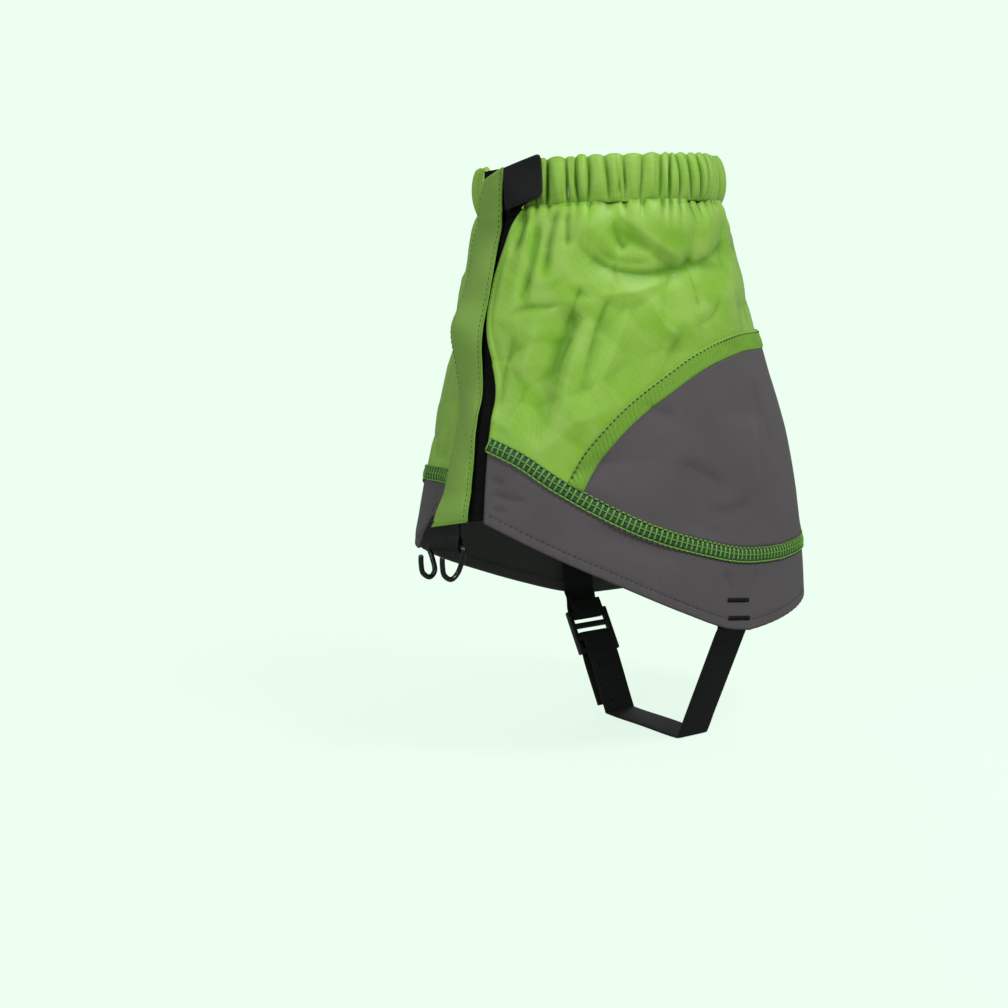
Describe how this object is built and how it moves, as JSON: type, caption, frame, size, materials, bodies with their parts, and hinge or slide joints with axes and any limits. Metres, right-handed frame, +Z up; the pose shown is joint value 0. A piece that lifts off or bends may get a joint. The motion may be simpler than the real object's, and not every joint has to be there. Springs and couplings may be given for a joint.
{
  "type": "ankle gaiter",
  "caption": "Short ankle gaiter for a hiking boot: elastic cuff, front placket with touch tape, lace hook and adjustable instep strap.",
  "frame": {"origin": "centre of the underside of the instep strap's flat run, which lies on the ground under the sole", "axes": "+Z up along the leg, -Y towards the toe and the front closure, +X towards the wearer's left"},
  "size_m": [0.1426, 0.217, 0.279],
  "materials": {
    "green_ripstop": "light green ripstop nylon, slight sheen",
    "green_tape": "light green bias tape",
    "placket_cloth": "duller green cloth of the placket",
    "grey_cloth": "warm grey plain woven polyester, matte",
    "seam_thread": "bright green flatlock thread over dark gaps",
    "elastic": "white woven elastic",
    "loop_tape": "black fuzzy loop tape",
    "hook_tape": "black hook tape",
    "tab_tape": "smooth black tape",
    "webbing": "black polyester webbing, matte",
    "tack_thread": "black bonded thread",
    "black_wire": "black coated steel wire",
    "black_plastic": "black acetal"
  },
  "bodies": {
    "wrap": {"upper_panel": "green_ripstop", "skirt": "grey_cloth", "flatlock_seam": "seam_thread", "hem_facing": "grey_cloth", "heel_panel": "grey_cloth", "heel_binding": "green_tape", "cuff_casing": "green_ripstop", "cuff_elastic": "elastic", "loop_strip": "loop_tape", "cuff_loop_patch": "loop_tape", "sewn_end_left": "webbing", "sewn_end_right": "webbing", "bar_tack_left_1": "tack_thread", "bar_tack_left_2": "tack_thread", "bar_tack_right_1": "tack_thread", "bar_tack_right_2": "tack_thread"},
    "right_front": {"upper_panel_right_front": "green_ripstop", "skirt_right_front": "grey_cloth", "flatlock_seam_right_front": "seam_thread", "hem_facing_right_front": "grey_cloth", "heel_panel_right_front": "grey_cloth", "heel_binding_right_front": "green_tape", "cuff_casing_right_front": "green_ripstop", "cuff_elastic_right_front": "elastic"},
    "placket": {"placket_flap": "placket_cloth", "placket_piping": "green_tape", "hook_strip": "hook_tape", "hook_webbing": "webbing"},
    "tab": {"cuff_tab": "tab_tape", "cuff_tab_hooks": "hook_tape"},
    "lace_hook_wire": {"lace_hook": "black_wire"},
    "strap": {"instep_strap": "webbing", "buckle_loop": "webbing", "ladder_lock": "black_plastic"}
  },
  "joints": [
    {"name": "wrap_opening", "type": "hinge", "parent": "wrap", "child": "right_front", "pos_m": [-0.0742, -0.021, 0.057], "axis": [-0.0522, 0, -0.9986], "range_deg": [0, 70]},
    {"name": "placket_peel", "type": "hinge", "parent": "right_front", "child": "placket", "pos_m": [0.0018, -0.1256, 0.117], "axis": [0.0851, -0.2686, -0.9595], "range_deg": [0, 140]},
    {"name": "cuff_tab_peel", "type": "hinge", "parent": "placket", "child": "tab", "pos_m": [0.0156, -0.0824, 0.266], "axis": [0, 0, -1], "range_deg": [0, 120]},
    {"name": "lace_hook_swing", "type": "hinge", "parent": "placket", "child": "lace_hook_wire", "pos_m": [0.01255, -0.12008, 0.1065], "axis": [-0.9636, -0.2672, 0], "range_deg": [-15, 60]},
    {"name": "strap_swing", "type": "hinge", "parent": "wrap", "child": "strap", "pos_m": [0, 0, 0.0575], "axis": [1, 0, 0], "range_deg": [-35, 35]}
  ]
}
